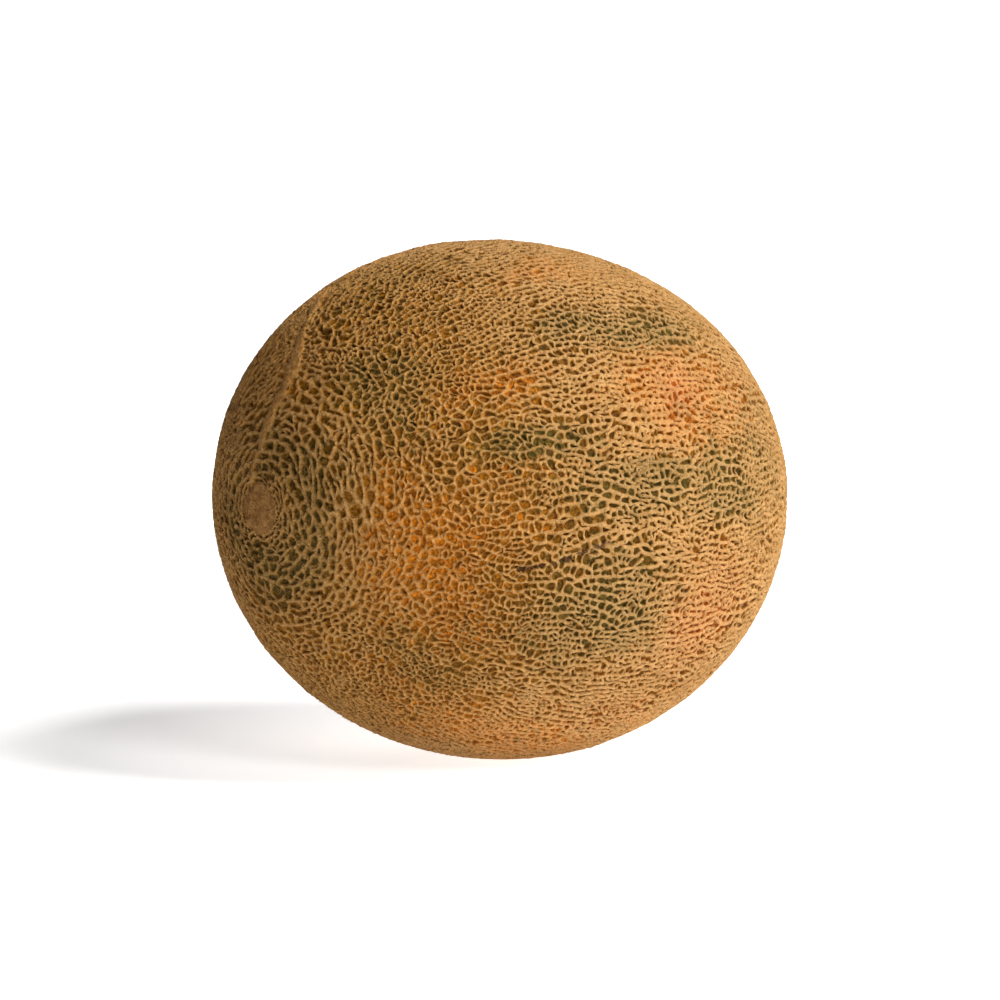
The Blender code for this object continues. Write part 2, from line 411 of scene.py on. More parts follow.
# %% Places on the fruit
BAND = (  # degrees from the blossom scar, degrees around
    (6, -30), (10.7, -9.7), (12.9, -6.4), (21, 1.5),
    (25.2, 0.6), (28.2, -1.7), (36, -7), (46, -13),
)
CRACK = ((49, 104), (54, 103), (60, 100), (67, 97))


def crest_point(degrees_polar, degrees_around):
    """The point on the crests at two angles in degrees."""
    toward = direction(np.radians([degrees_polar]), np.radians([degrees_around]))
    return (toward * crest_radius(toward)[:, None])[0]


def distance_from_line(points, route):
    """How far points are from a line through places on the fruit, and how far along it."""
    stops = np.array([crest_point(*stop) for stop in route])
    nearest = np.full(len(points), np.inf)
    along = np.zeros(len(points))
    for number, (start, end) in enumerate(zip(stops[:-1], stops[1:])):
        step = end - start
        share = np.clip((points - start) @ step / (step @ step), 0, 1)
        gap = np.linalg.norm(points - start - share[:, None] * step, axis=1)
        closer = gap < nearest
        nearest[closer] = gap[closer]
        along[closer] = (number + share[closer]) / (len(stops) - 1)
    return nearest, along


print("The blossom scar is at", np.round(crest_point(0, 0) * 1000, 1), "mm from the middle.")

# %% [markdown]
# ## How strongly each mark is felt
#
# A mark is full inside its edge and fades out over a short way.  A hard edge would look
# punched out, so the distance goes through an even curve, and wandering fields make the
# edge ragged.  The band gets narrower on its way, and the crack breaks off here and there.
#
# The crack is narrower than a cell, so the points of the skin can't hold its edge.  They
# hold how near the crack is instead, an even slope that the material cuts to a thin line.

# %% The reach of every mark
RAGGED = 0.6 * MM  # how far the edges of the marks stray
BLOSSOM_SCAR_RADIUS = 6.6 * MM
BLOSSOM_SCAR_SIDE = 1.2 * MM
BLOSSOM_SCAR_EDGE = 0.6 * MM
STEM_SCAR_RADIUS = 9.5 * MM
STEM_SCAR_EDGE = 1.4 * MM
BAND_HALF_WIDTH = 2.0 * MM
BAND_START, BAND_TAPER, BAND_WAVER = 1.1, 0.75, 0.45  # times the half width
BAND_CORE = 0.7  # share of the half width where the band is full
BAND_EDGE = 0.7 * MM
CRACK_HALF_WIDTH = 0.45 * MM
CRACK_EDGE = (0.5, 1.8)  # from full depth to none, as shares of the half width
CRACK_BREAKS = (-0.3, 0.5)  # up to the first the crack is broken off, from the second it is whole
CRACK_SURER = 0.8  # how much less the crack breaks off toward its end
CRACK_REACH = 4 * MM
FLAT_SPOT_RADIUS = 12 * MM
FLAT_SPOT_EDGE = 8 * MM
CRACK_RAGGED, SPOT_RAGGED = 0.7, 2  # times the raggedness above


def marks(points):
    """How strongly each mark is felt at points on the crests, from 0 to 1."""
    unit = points / np.linalg.norm(points, axis=1)[:, None]
    ragged = RAGGED * wander(unit, 2 * MM) + RAGGED * wander(unit, 6 * MM)
    from_axis = np.hypot(points[:, 1], points[:, 2])
    from_scar = np.hypot(points[:, 1] - BLOSSOM_SCAR_SIDE, points[:, 2])
    blossom_end = BLOSSOM_SCAR_RADIUS + BLOSSOM_SCAR_EDGE
    blossom = 1 - smooth_step(from_scar + ragged, BLOSSOM_SCAR_RADIUS, blossom_end)
    stem_end = STEM_SCAR_RADIUS + STEM_SCAR_EDGE
    stem = 1 - smooth_step(from_axis + ragged, STEM_SCAR_RADIUS, stem_end)
    band_gap, band_along = distance_from_line(points, BAND)
    breadth = BAND_START - BAND_TAPER * band_along + BAND_WAVER * wander(unit, 9 * MM)
    core = BAND_HALF_WIDTH * breadth * BAND_CORE
    crack_gap, crack_along = distance_from_line(points, CRACK)
    crack_edge = (CRACK_HALF_WIDTH * share for share in CRACK_EDGE)
    crack = 1 - smooth_step(crack_gap + CRACK_RAGGED * ragged, *crack_edge)
    unbroken = wander(unit, 2.5 * MM) + CRACK_SURER * crack_along
    off_spot = np.arccos(np.clip(-unit[:, 2], -1, 1)) * GIRTH / 2
    spot_end = FLAT_SPOT_RADIUS + FLAT_SPOT_EDGE
    return {
        "blossom": np.where(points[:, 0] < 0, blossom, 0),
        "stem": np.where(points[:, 0] > 0, stem, 0),
        "band": 1 - smooth_step(band_gap, core, core + BAND_EDGE),
        "crack": crack * smooth_step(unbroken, *CRACK_BREAKS),
        "near_crack": np.clip(1 - crack_gap / CRACK_REACH, 0, 1),
        "spot": 1 - smooth_step(off_spot + SPOT_RAGGED * ragged, FLAT_SPOT_RADIUS, spot_end),
    }


smoothed = FLAT_SPOT_RADIUS + FLAT_SPOT_EDGE
print(f"The ground has smoothed the net up to {smoothed * 1000:.0f} mm from the lowest point.")

# %% [markdown]
# ## Colour patches
#
# The skin ripens in patches.  Where it is ripe it is orange or reddish, where it is not yet
# ripe it is dark green, and elsewhere it is olive.  Most patches lie along the fruit.  A
# painted image would need a flat map and would blur up close, so each patch is a soft blob
# with a place, a length, a width and a strength, and the strongest blob wins.
#
# The patches come before the cords, because the net is more open where the skin is green.

# %% Spread the colour patches
GREEN_PATCHES = (  # degrees from the scar, degrees around, half length, half width, strength
    (84, 49, 22, 6, 0.8),
    (31, 40, 9, 24, 0.5),
    (48, 4, 14, 14, 0.4),
    (116, 80, 12, 14, 0.55),
    (54, 73, 13, 4, 0.75),
    (76, 86, 15, 6, 0.95),
    (69, 111, 14, 12, 1.0),
    (101, 86, 13, 7, 1.0),
    (11, 120, 6, 200, 0.8),
    (17, 75, 6, 20, 0.5),
    (42, 141, 10, 8, 0.4),
    (66, 129, 10, 5, 0.3),
)
ORANGE_PATCHES = (
    (34, 103, 13, 20, 1.0),
    (27, 87, 8, 14, 0.7),
    (48, 58, 9, 6, 0.8),
    (78, 30, 12, 5, 0.7),
    (90, 66, 16, 10, 0.9),
    (66, 156, 24, 13, 0.7),
)
RED_PATCHES = (
    (89, 66, 7, 6, 1.0),
    (97, 114, 12, 11, 1.0),
    (111, 66, 8, 10, 0.45),
    (88, 140, 12, 8, 0.4),
)
PATCH_FALL = 0.7  # leaves half of a patch at its half length or half width


def degrees_from_scar(unit):
    """The polar angle of unit vectors, in degrees."""
    return np.degrees(np.arccos(np.clip(-unit[:, 0], -1, 1)))


def patches(unit, listed):
    """The strongest of the listed blobs at each direction."""
    polar = degrees_from_scar(unit)
    around = np.degrees(np.arctan2(-unit[:, 1], unit[:, 2]))
    strongest = np.zeros(len(unit))
    for at_polar, at_around, half_length, half_breadth, strength in listed:
        turn = (around - at_around + 180) % 360 - 180
        reach = ((polar - at_polar) / half_length) ** 2 + (turn / half_breadth) ** 2
        strongest = np.maximum(strongest, strength * np.exp(-PATCH_FALL * reach))
    return strongest


print(f"{len(GREEN_PATCHES)} green, {len(ORANGE_PATCHES)} orange, {len(RED_PATCHES)} red patches")

# %% [markdown]
# ## Bent cords
#
# The cords of a melon bend and waver.  So far they are straight lines on a flat map, which
# would look drawn with a ruler.  Curves could be laid over them, but two small moves are
# enough: the middle of each cord steps to one side, and the whole net is swayed by a slow
# wandering field.

# %% Place the middles of the cords and sway the net
MID_WAVER = 0.18
MEANDER = 0.9 * MM
MEANDER_PATCH = 18 * MM

way = beside(corners[cords[:, 1]], corners[cords[:, 0]])
mid = corners[cords[:, 0]] + way / 2
mid += np.column_stack([-way[:, 1], way[:, 0]]) * rng.normal(0, MID_WAVER, (len(cords), 1))
mid[:, 0] %= FULL_TURN

crest_unit = to_direction(np.vstack([corners, mid]))
sway = np.column_stack([wander(crest_unit, MEANDER_PATCH) for _ in range(3)])
crest_unit += sway * MEANDER / (GIRTH / 2)
crest_unit /= np.linalg.norm(crest_unit, axis=1)[:, None]
crest_points = crest_unit * crest_radius(crest_unit)[:, None]
polar_degrees = degrees_from_scar(crest_unit)
print(len(crest_points), "points on the crests")

# %% [markdown]
# ## How wide and how high the cords are
#
# Through cords are thick, cross-links are thin, and some cross-links hardly rise at all, so
# that two holes run together.  The cords are broadest around the blossom scar, slim beyond
# it, and broad again from the middle to the stem end, where the holes between them are
# small and round.
#
# One width for all would look like wire mesh.  So the width is a table along the fruit,
# made slimmer on green skin, swayed by wandering fields and then drawn for each cord.  The
# height is a drop below the crests, as a share of the depth of a hole.  Corners drop least,
# cross-links more, and a weak cord may sink nearly to the skin.

# %% Give every cord a width and a height
CORD_HALF_WIDTH = 0.32 * MM
CORD_BREADTHS = (  # degrees from the blossom scar, times the half width above
    (0, 1.6), (10, 2.8), (20, 2.55), (30, 1.65), (45, 1.2), (75, 1.68), (180, 1.68),
)
GREEN_OPENS = 0.36  # how much slimmer the cords are where the skin is green
SLOW_WAVER, QUICK_WAVER = 0.08, 0.12
LINK_BREADTH, THROUGH_EXTRA = 0.62, 0.50
CORD_UNEVEN = (0.60, 1.40)
WEAK_THROUGH, WEAK_LINKS = 0.04, 0.30  # shares of the cords that are weak
WEAK_BREADTH = 0.7
WEAK_DROPS = (0.2, 0.75)
CORD_DROPS = (0, 0.30)
CORNER_DROPS = (-0.14, 0.12)
LINK_DROP = 0.18

broad = np.interp(polar_degrees, *zip(*CORD_BREADTHS))
broad *= 1 - GREEN_OPENS * patches(crest_unit, GREEN_PATCHES)
broad *= 1 + SLOW_WAVER * wander(crest_unit, 20 * MM) + QUICK_WAVER * wander(crest_unit, 5 * MM)
cord_broad = broad[len(corners):] * (LINK_BREADTH + THROUGH_EXTRA * through)
cord_broad *= rng.uniform(*CORD_UNEVEN, len(cords))
half_width = CORD_HALF_WIDTH * cord_broad

weak = rng.random(len(cords)) < np.where(through == 1, WEAK_THROUGH, WEAK_LINKS)
half_width[weak] *= WEAK_BREADTH
weak_drop = rng.uniform(*WEAK_DROPS, len(cords))
cord_drop = np.where(weak, weak_drop, rng.uniform(*CORD_DROPS, len(cords)))
cord_drop += LINK_DROP * (1 - through)
drop = np.concatenate([rng.uniform(*CORNER_DROPS, len(corners)), cord_drop])
print(f"cords are {2000 * half_width.min():.2f} to {2000 * half_width.max():.2f} mm wide")

# %% [markdown]
# ## Rings of points for every cell
#
# Each cell is built from four levels, from the outside in: the crest that it shares with
# its neighbours, the shoulder of the cord, the edge of the hole's floor, and one point in
# the middle.  The crest and the shoulder have a point at each corner and one between, so
# that cords can bend.  The floor has one point a corner, because few would notice more.
#
# First comes the bookkeeping: which crest point, which next and which previous entry
# belongs to each place in a ring, and where the middle of each cell is.

# %% Number the rings and find the middles
entries = len(ring_cell)
ring_point = np.empty(2 * entries, dtype=int)
ring_point[0::2] = ring_corner
ring_point[1::2] = len(corners) + ring_cord
ring_next = np.empty(2 * entries, dtype=int)
ring_next[0::2] = np.arange(entries) * 2 + 1
ring_next[1::2] = following * 2
ring_previous = np.empty_like(ring_next)
ring_previous[ring_next] = np.arange(2 * entries)
ring_owner = np.repeat(ring_cell, 2)
ring_points_per_cell = np.maximum(2 * ring_size, 1)

crest_ring = crest_points[ring_point]
cell_middle = np.zeros((len(seeds), 3))
np.add.at(cell_middle, ring_owner, crest_ring)
cell_middle /= ring_points_per_cell[:, None]
inward = cell_middle[ring_owner] - crest_ring
print(f"a cell is {2000 * np.linalg.norm(inward, axis=1).mean():.1f} mm across on average")

# %% [markdown]
# ## How far each ring moves in
#
# A ring is the crest ring moved toward the cell's middle by a share that makes the cord as
# wide as asked.  Near the blossom scar the cords have round tops, so the shoulder lies well
# inside the cord's edge.  Beyond it the tops are flat, and the shoulder lies close to the
# edge.  Averaging each point with its neighbours rounds the holes, as cork fills sharp
# corners first.  Where very little of a cell is left open, cork starts to fill it up.

# %% Move the rings inward
SLOPE_WIDTH = 0.16 * MM
LEAST_SPAN = 0.05 * MM
DEEPEST_SHARE = 0.79
FLATTER_FROM_TO = (42, 72)  # degrees from the blossom scar
ROUND_TOP, FLAT_TOP = 0.60, 0.86  # how far out the shoulder lies, as a share of the half width
UNEVEN, FLAT_STEADIER = 0.25, 0.10
GROWN_OVER = (0.72, 0.88)  # a floor's edge this far in: cork starts to fill it, and is done

start, end = crest_points[ring_corner], crest_points[next_corner]
side = end - start
side_length = np.maximum(np.linalg.norm(side, axis=1), SAME_POINT)
span = np.linalg.norm(np.cross(side, cell_middle[ring_cell] - start), axis=1) / side_length
span = np.maximum(span, LEAST_SPAN)
shoulder_share, floor_share = np.empty(2 * entries), np.empty(2 * entries)
shoulder_share[1::2] = half_width[ring_cord] / span
floor_share[1::2] = (half_width[ring_cord] + SLOPE_WIDTH) / span
for share in (shoulder_share, floor_share):
    share[0::2] = (share[1::2] + share[1::2][preceding]) / 2
flatness = smooth_step(polar_degrees, *FLATTER_FROM_TO)[ring_point]
uneven = 1 + rng.uniform(-1, 1, 2 * entries) * (UNEVEN - FLAT_STEADIER * flatness)
shoulder_share, floor_share = shoulder_share * uneven, floor_share * uneven
top = ROUND_TOP + (FLAT_TOP - ROUND_TOP) * flatness
shoulder_share = np.clip(shoulder_share, 0, DEEPEST_SHARE) * top
floor_share = np.clip(floor_share, 0, DEEPEST_SHARE)


def soften(ring):
    """Average each point of the rings with its two neighbours."""
    return ring / 2 + (ring[ring_next] + ring[ring_previous]) / 4


shoulder_ring = soften(crest_ring + inward * shoulder_share[:, None])
floor_ring = soften(crest_ring + inward * floor_share[:, None])[0::2]

cell_share = np.zeros(len(seeds))
np.add.at(cell_share, ring_owner, floor_share)
closed = smooth_step(cell_share / ring_points_per_cell, *GROWN_OVER)
print((closed > 0).sum(), "holes are partly or wholly filled with cork")

# %% [markdown]
# ## Heights
#
# Now every point gets a height over or under the smooth form, and a share of cork: 1 on
# the cords, 0 on the bare skin between them.  Blender could raise the cords by a
# displacement map, but a height for each point keeps every edge where the net has it.  The
# marks flatten the net where there is none.

# %% Raise the cords and sink the holes
HOLE_DEPTH = 0.95 * MM
HOLE_DEPTHS = (0.7, 1.2)  # times the depth above, drawn for each cell
MIDDLE_DEPTH = 0.86  # the middle of a floor, as a share of its edge's depth
ROUND_SHOULDER_DROP, FLAT_SHOULDER_DROP = 0.34, 0.10
BARE_FROM_TO = (0.45, 0.85)  # a cord that drops this far loses its cork
BARE_SHARE = 0.8

cell_depth = HOLE_DEPTH * (1 - closed) * rng.uniform(*HOLE_DEPTHS, len(seeds))
point_sets = (crest_points, shoulder_ring, floor_ring, cell_middle)
points = np.vstack(point_sets)
set_ends = np.cumsum([len(one) for one in point_sets])
crests, shoulders, floors, middles = (
    slice(first, last) for first, last in zip(np.r_[0, set_ends[:-1]], set_ends)
)

felt = marks(points)
no_net = np.maximum.reduce([felt["blossom"], felt["stem"], felt["band"], felt["spot"]])
heights = np.zeros(len(points))
heights[crests] = -drop * HOLE_DEPTH
shoulder_drop = ROUND_SHOULDER_DROP + (FLAT_SHOULDER_DROP - ROUND_SHOULDER_DROP) * flatness
heights[shoulders] = -(drop[ring_point] + shoulder_drop) * HOLE_DEPTH
heights[floors] = -cell_depth[ring_cell]
heights[middles] = -MIDDLE_DEPTH * cell_depth
heights *= 1 - no_net

cord_cork = 1 - BARE_SHARE * smooth_step(drop, *BARE_FROM_TO)
cork = np.ones(len(points))
cork[crests] = cord_cork
cork[shoulders] = cord_cork[ring_point]
cork[floors] = closed[ring_cell]
cork[middles] = closed
cork = 1 - (1 - cork) * (1 - no_net)
print(f"the net is {-1000 * heights.min():.2f} mm deep at most")

# %% [markdown]
# ## The forms of the marks
#
# The blossom scar is a shallow disc, the stem scar a dish inside a raised collar, the band a
# low ridge and the crack a furrow.  Each adds or takes away height where it is felt, which
# leaves no join.  The wrinkles of the scars are the same wandering field, squeezed so that
# they come out fine, or as short lines.  Last, nothing may reach below the ground.

# %% Shape the marks and set the skin on the ground
ROLLING, RIPPLE = 0.08 * MM, 0.06 * MM  # slow and quick unevenness of the whole skin
SCAR_SINK, SCAR_WRINKLES = 0.28 * MM, 0.10 * MM
SCAR_SQUEEZE = [1, 1, 2.5]
STEM_DISH, STEM_DISH_SLOPE = 1.3 * MM, 5 * MM
STEM_WRINKLES = 0.16 * MM
STEM_SQUEEZE = [1, 1.6, 1.6]
COLLAR_HEIGHT, COLLAR_WIDTH, COLLAR_UNEVEN = 0.7 * MM, 1.6 * MM, 0.5
CRACK_DEPTH = 0.55 * MM
BAND_RISE = 0.25 * MM

unit = points / np.linalg.norm(points, axis=1)[:, None]
from_axis = np.hypot(points[:, 1], points[:, 2])
heights += ROLLING * wander(unit, 9 * MM) + RIPPLE * wander(unit, 1.4 * MM)
heights -= felt["blossom"] * (SCAR_SINK - SCAR_WRINKLES * wander(unit * SCAR_SQUEEZE, 2.5 * MM))
heights -= STEM_DISH * felt["stem"] * smooth_step(STEM_SCAR_RADIUS - from_axis, 0, STEM_DISH_SLOPE)
collar = np.exp(-((from_axis - STEM_SCAR_RADIUS) / COLLAR_WIDTH) ** 2) * (points[:, 0] > 0)
heights += COLLAR_HEIGHT * collar * (1 + COLLAR_UNEVEN * wander(unit, 5 * MM))
heights += STEM_WRINKLES * felt["stem"] * wander(unit * STEM_SQUEEZE, 1.8 * MM)
heights -= CRACK_DEPTH * felt["crack"]
heights += BAND_RISE * felt["band"]
points += unit * heights[:, None]
below = np.maximum(-points[:, 2], SAME_POINT)
points *= np.minimum(1, GROUND / below)[:, None]

low, high = points.min(axis=0), points.max(axis=0)
shift = (cad_low + cad_high) / 2 - (low + high) / 2
shift[2] = cad_low[2] + GROUND
points += shift
print("fine box in mm:", np.round((high - low) * 1000, 1), "shifted by", np.round(shift * 1000, 2))

# %% [markdown]
# ## Faces
#
# Between the crest and the shoulder runs a band of four-sided faces.  The slope below it
# goes from two points a corner to one, so it is made of triangles, and a fan of triangles
# closes the floor.  The guard cells at the two poles aren't built.  The edges that are left
# open there are the ones that no face uses the other way round.  They are followed to a
# loop, and a fan around one new point closes it.

# %% Join the rings with faces
shoulder_id = set_ends[0] + np.arange(2 * entries)
floor_id = set_ends[1] + np.arange(entries)
middle_id = set_ends[2] + ring_cell

built = np.flatnonzero(ring_owner >= FIXED)
quads = np.column_stack([
    ring_point, ring_point[ring_next], shoulder_id[ring_next], shoulder_id,
])[built]

built_corners = np.flatnonzero(ring_cell >= FIXED)
shoulder_corner, shoulder_mid = shoulder_id[0::2], shoulder_id[1::2]
slopes_and_floors = [
    (shoulder_corner, shoulder_mid, floor_id),
    (shoulder_mid, shoulder_corner[following], floor_id[following]),
    (shoulder_mid, floor_id[following], floor_id),
    (floor_id, floor_id[following], middle_id),
]
fans = np.vstack([np.column_stack(three)[built_corners] for three in slopes_and_floors])

forward = set(zip(quads[:, 0].tolist(), quads[:, 1].tolist()))
open_edges = {start: end for end, start in forward if (start, end) not in forward}
pole_points, pole_fans = [], []
while open_edges:
    loop = [next(iter(open_edges))]
    while open_edges[loop[-1]] != loop[0]:
        loop.append(open_edges[loop[-1]])
    for member in loop:
        del open_edges[member]
    pole = len(points) + len(pole_points)
    pole_points.append(points[loop].mean(axis=0))
    pole_fans += [(one, two, pole) for one, two in zip(loop, loop[1:] + loop[:1])]
points = np.vstack([points, pole_points])
triangles = np.vstack([fans, pole_fans])
print(f"{len(quads)} quads and {len(triangles)} triangles, {len(pole_points)} poles closed")
assert len(pole_points) == 2

# %% [markdown]
# ## One normal for every point
#
# The skin is cut into six pieces below, and a cut would show in the shading if each piece
# worked out its own normals.  So they are worked out once for the whole skin, as the
# average of the faces around each point, and given to the pieces.

# %% Average the face directions at every point
def face_directions(faces):
    """A vector square to each face, longer where the face is larger."""
    place = [points[faces[:, corner]] for corner in range(faces.shape[1])]
    if len(place) == 4:
        return np.cross(place[2] - place[0], place[3] - place[1])
    return np.cross(place[1] - place[0], place[2] - place[0])


normals = np.zeros_like(points)
for faces in (quads, triangles):
    outward = face_directions(faces)
    for corner in range(faces.shape[1]):
        np.add.at(normals, faces[:, corner], outward)
normals /= np.maximum(np.linalg.norm(normals, axis=1), TINY)[:, None]
facing_in = (normals * (points - shift)).sum(1) < 0
print(f"{facing_in.sum()} of {len(points)} normals point inward")

# %% [markdown]
# ## The measures that drive the colours
#
# A material can read numbers that are stored on the points of a mesh.  So the skin gets
# one number for each thing that the colour depends on, and the material below mixes its
# colours by them.  Ready colours could be stored instead, but then each change of a colour
# would need the mesh again.
#
# `green`, `orange` and `red` are the patches with mottled edges.  The back has few listed
# patches, so it gets free streaks of green and orange.  `tone` makes each hole lighter or
# darker, and near the blossom scar much darker, a painted shade in the narrow holes there.
# `crest` is 1 on high cords and lays a painted highlight on their tops, `smooth_cork` is
# high on the scars, and `young` is high near the blossom scar, where thin young cords cross
# the holes.

# %% Measure the skin's colours and the cork
STREAK = [0.35, 1.0, 1.0]  # a wandering field with x times 0.35 runs along the fruit
BACK_SIDE, BACK_FROM_SCAR = (-0.15, 0.35), (-0.75, -0.35)
GREEN_STREAKS, ORANGE_STREAKS = (0.2, 0.9), (0.1, 0.8)
GREEN_MOTTLE, ORANGE_MOTTLE = (0.16, 0.12), (0.22, 0.10)  # broad and fine
RED_MOTTLE, RED_LESS = 0.15, 0.05
# a cord that drops this far loses its painted highlight along the crest
CREST_DROPS = (0.1, 0.6)  # a cord that drops this far loses its light crest
MIDDLE_TONE, STEADIER_TONE = 0.5, 0.6
# How dark the holes near the blossom scar get, as painted shade in their narrow slots, and over
# which reach.
SCAR_SHADE, SCAR_SHADE_FROM_TO = 0.2, (0.90, 0.98)
LESS_YOUNG = 0.75
BAND_SMOOTH, STEM_SMOOTH, COLLAR_ROUGH = 0.5, 0.85, 0.8


def mottled(measured, broad_share, fine_share):
    """Break the edges of a measure up, and keep it from 0 to 1."""
    return np.clip(measured + broad_share * mottle + fine_share * fine_mottle, 0, 1)


unit = (points - shift) / np.linalg.norm(points - shift, axis=1)[:, None]
at_back = smooth_step(unit[:, 1], *BACK_SIDE) * smooth_step(unit[:, 0], *BACK_FROM_SCAR)
streaks = wander(unit * STREAK, 30 * MM)
mottle = wander(unit * STREAK, 7 * MM)
fine_mottle = wander(unit, 3 * MM)
green = patches(unit, GREEN_PATCHES) + at_back * smooth_step(streaks, *GREEN_STREAKS)
green = mottled(green, *GREEN_MOTTLE)
orange = patches(unit, ORANGE_PATCHES) + at_back * smooth_step(-streaks, *ORANGE_STREAKS)
orange = mottled(orange, *ORANGE_MOTTLE)
red = np.clip(patches(unit, RED_PATCHES) + RED_MOTTLE * fine_mottle - RED_LESS, 0, 1)

# The crest measure places a painted highlight on the tops of high cords, and on flat-topped
# shoulders too.
crest = np.zeros(len(points))
crest[crests] = 1 - smooth_step(drop, *CREST_DROPS)
crest[shoulders] = flatness * crest[crests][ring_point]

flatter = smooth_step(degrees_from_scar(unit), *FLATTER_FROM_TO)
seed_tone = rng.uniform(0, 1, len(seeds))
tone = np.full(len(points), MIDDLE_TONE)
tone[floors] = seed_tone[ring_cell] * (1 - STEADIER_TONE * flatness[0::2])
tone[middles] = seed_tone * (1 - STEADIER_TONE * flatter[middles])
# Near the blossom scar the holes are darkened, a painted shade in the narrow slots there.
tone *= SCAR_SHADE + (1 - SCAR_SHADE) * (1 - smooth_step(-unit[:, 0], *SCAR_SHADE_FROM_TO))

stem_cork = STEM_SMOOTH * felt["stem"] * (1 - COLLAR_ROUGH * collar)
smooth_cork = np.maximum.reduce([felt["blossom"], BAND_SMOOTH * felt["band"], stem_cork])
young = 1 - LESS_YOUNG * flatter
young[-2:] = 1
measures = {  # the two pole points come last
    "cork": np.append(cork, (1, 1)),
    "crest": crest,
    "green": green,
    "orange": orange,
    "red": red,
    "tone": tone,
    "smooth_cork": np.append(smooth_cork, (1, STEM_SMOOTH)),
    "near_crack": np.append(felt["near_crack"], (0, 0)),
    "young": young,
}
for name, values in measures.items():
    print(f"{name}: {values.min():.2f} to {values.max():.2f}, {values.mean():.2f} on average")

# %% [markdown]
# ## Helpers for wiring nodes
#
# A material in Blender is a graph of small nodes.  Wiring one by hand takes several lines a
# node, so a few helpers make a node, link what goes in and give back what comes out.  With
# them a graph reads like a sum.  The rind's material starts here, with the two nodes that
# Blender gives every new one.

# %% Helpers for wiring nodes
def add_node(tree, kind, **settings):
    """A new shader node, with its unlinked inputs set by name."""
    node = tree.nodes.new(kind)
    for name, value in settings.pop("inputs", {}).items():
        node.inputs[name].default_value = value
    for name, value in settings.items():
        setattr(node, name, value)
    return node


def measure(tree, name):
    """The output of one of the measures stored on the points."""
    return add_node(tree, "ShaderNodeAttribute", attribute_name=name).outputs["Fac"]


def spread(tree, value, low, high, to_low=0.0, to_high=1.0):
    """Stretch a value from one range to another, without leaving the new range."""
    made = add_node(tree, "ShaderNodeMapRange", inputs={
        "From Min": low, "From Max": high, "To Min": to_low, "To Max": to_high,
    })
    tree.links.new(value, made.inputs["Value"])
    return made.outputs["Result"]


def calculate(tree, operation, first, second):
    """One sum on two values; either may be a plain number."""
    made = add_node(tree, "ShaderNodeMath", operation=operation)
    for socket, value in zip(made.inputs, (first, second)):
        if isinstance(value, (int, float)):
            socket.default_value = value
        else:
            tree.links.new(value, socket)
    return made.outputs["Value"]


def times(tree, first, second):
    """The product of two values."""
    return calculate(tree, "MULTIPLY", first, second)


def mix(tree, share, first, second, blend="MIX"):
    """Mix two colours, each a colour or an output, by a share."""
    made = add_node(tree, "ShaderNodeMix", data_type="RGBA", blend_type=blend)
    sockets = (made.inputs[0], made.inputs[6], made.inputs[7])
    for socket, value in zip(sockets, (share, first, second)):
        if isinstance(value, (int, float)):
            socket.default_value = value
        elif isinstance(value, tuple):
            socket.default_value = (*value, 1.0)
        else:
            tree.links.new(value, socket)
    return made.outputs[2]


rind = bpy.data.materials.new("rind")
rind.use_nodes = True
print(len(rind.node_tree.nodes), "nodes in a new material")

# %% [markdown]
# ## The grains of the rind
#
# Up close nothing on the rind is plain: the skin has a fine grain, the cork has blotches,
# pores and pits, and the patches have broken edges.  Each could be a small painted image.
# Noise is simpler and never repeats, and most grains differ only in their numbers: how
# fine, how detailed, and from where to where the noise is stretched.  So they are a table,
# and one function makes any of them.  The noise is taken in the object's own space, so that
# it stays on the skin when the melon or the camera moves.

# %% A table of grains
GRAINS = {  # about how many to a metre, detail, the noise from and to, the result from and to
    "orange edge": (500, 2, 0.3, 0.7, -0.25, 0.25),
    "green edge": (620, 2, 0.3, 0.7, -0.30, 0.30),
    "crack edge": (520, 3, 0.3, 0.7, -0.22, 0.22),
    "skin": (1300, 2, 0.34, 0.66, 0.45, 1.55),
    "blotches": (260, 4, 0.35, 0.65, 0.0, 1.0),
    "pores": (1900, 2, 0.35, 0.65, 0.0, 1.0),
    "pits": (1200, 2, 0.59, 0.67, 0.0, 1.0),
    "young patches": (300, 3, 0.34, 0.56, 0.0, 1.0),
}


def noise(tree, scale, detail, roughness=0.6):
    """Noise in the object's own space, with cells of about 1 / scale metres."""
    where = add_node(tree, "ShaderNodeTexCoord").outputs["Object"]
    made = add_node(tree, "ShaderNodeTexNoise", inputs={
        "Scale": scale, "Detail": detail, "Roughness": roughness,
    })
    tree.links.new(where, made.inputs["Vector"])
    return made.outputs["Fac"]


def grain(tree, name):
    """One of the grains in the table."""
    scale, detail, *stretch = GRAINS[name]
    return spread(tree, noise(tree, scale, detail), *stretch)


print(len(GRAINS), "grains:", ", ".join(GRAINS))

# %% [markdown]
# ## The waxy skin
#
# The skin shows at the bottom of the holes.  It could have one colour for each hole, but on
# a real melon the colours run across the holes.  So it starts as olive, turns orange by one
# measure, red by the next and dark green by the last.  Grain breaks the edges of the orange
# and green patches, and a finer grain makes the skin lighter and darker within a hole.

# %% The skin's colour
OLIVE = (0.165, 0.060, 0.0015)
ORANGE = (0.370, 0.104, 0.002)
RED = (0.335, 0.058, 0.004)
DARK_GREEN = (0.086, 0.056, 0.008)
ORANGE_FROM_TO, GREEN_FROM_TO = (0.1, 0.75), (0.15, 0.7)
HOLE_TONES = (0.5, 1.3)


